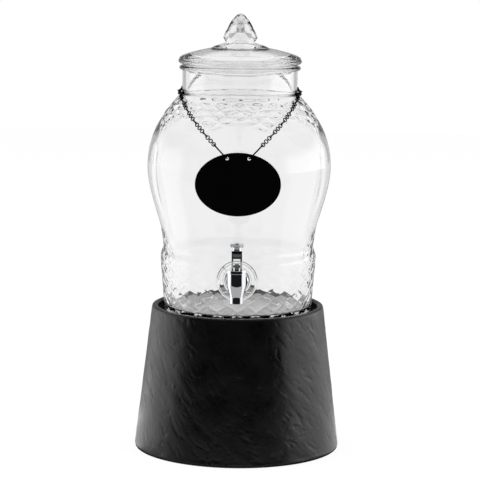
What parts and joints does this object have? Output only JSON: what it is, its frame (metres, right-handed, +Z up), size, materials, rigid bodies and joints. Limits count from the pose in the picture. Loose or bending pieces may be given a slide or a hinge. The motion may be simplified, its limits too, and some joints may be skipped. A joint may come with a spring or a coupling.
{
  "type": "glass beverage dispenser",
  "caption": "Quilted glass drink jar with a domed lid and lever tap, standing in a hollow cast stand, with a chalkboard tag on a chain round its neck.",
  "frame": {"origin": "on the table, under the axis of the jar and the stand", "axes": "+Z up along the jar's axis, -Y towards the tap and the tag, +X to the right of someone facing the tap"},
  "size_m": [0.253, 0.2743, 0.5336],
  "materials": {
    "cast_slate": "cast composite, riven slate texture, matt black",
    "felt": "pressed felt",
    "pressed_glass": "clear pressed glass, fire polished",
    "chrome": "polished chrome plate",
    "silicone": "translucent moulded silicone",
    "nylon": "moulded natural nylon",
    "nitrile": "moulded black rubber",
    "stainless": "drawn stainless steel",
    "black_wire": "blackened wire, satin",
    "chalkboard": "chalkboard paint on sheet steel, matt"
  },
  "bodies": {
    "base": {"stand": "cast_slate", "felt_ring": "felt"},
    "jar": {"glass_jar": "pressed_glass", "tap_body": "chrome", "front_gasket": "silicone", "rear_gasket": "silicone", "shank_nut": "nylon", "bonnet": "chrome", "stem_seal": "nitrile", "closing_spring": "stainless", "neck_chain": "black_wire", "left_hook": "black_wire", "right_hook": "black_wire"},
    "lid": {"glass_lid": "pressed_glass"},
    "plunger": {"valve_stem": "stainless", "stopper": "silicone"},
    "lever": {"lever": "chrome", "lever_pin": "stainless", "lever_knob": "chrome"},
    "tag": {"chalk_tag": "chalkboard"}
  },
  "joints": [
    {"name": "jar_lift", "type": "slide", "parent": "base", "child": "jar", "axis": [0, 0, 1], "range_m": [0, 0.06]},
    {"name": "lid_lift", "type": "slide", "parent": "jar", "child": "lid", "axis": [0, 0, 1], "range_m": [0, 0.1]},
    {"name": "plunger_lift", "type": "slide", "parent": "jar", "child": "plunger", "axis": [0, 0, 1], "range_m": [0, 0.004], "deforming": ["closing_spring"]},
    {"name": "lever_tilt", "type": "hinge", "parent": "plunger", "child": "lever", "pos_m": [0, -0.13639, 0.245], "axis": [1, 0, 0], "range_deg": [0, 60], "stiffness_Nm_per_rad": 0.00438, "springref_deg": -90.01},
    {"name": "tag_swing", "type": "hinge", "parent": "jar", "child": "tag", "pos_m": [0, -0.1133, 0.3691], "axis": [-1, 0, 0], "range_deg": [0, 28]}
  ],
  "couplings": [
    {"joint": "plunger_lift", "follows": "lever_tilt", "m_per_rad": 0.0038197}
  ]
}
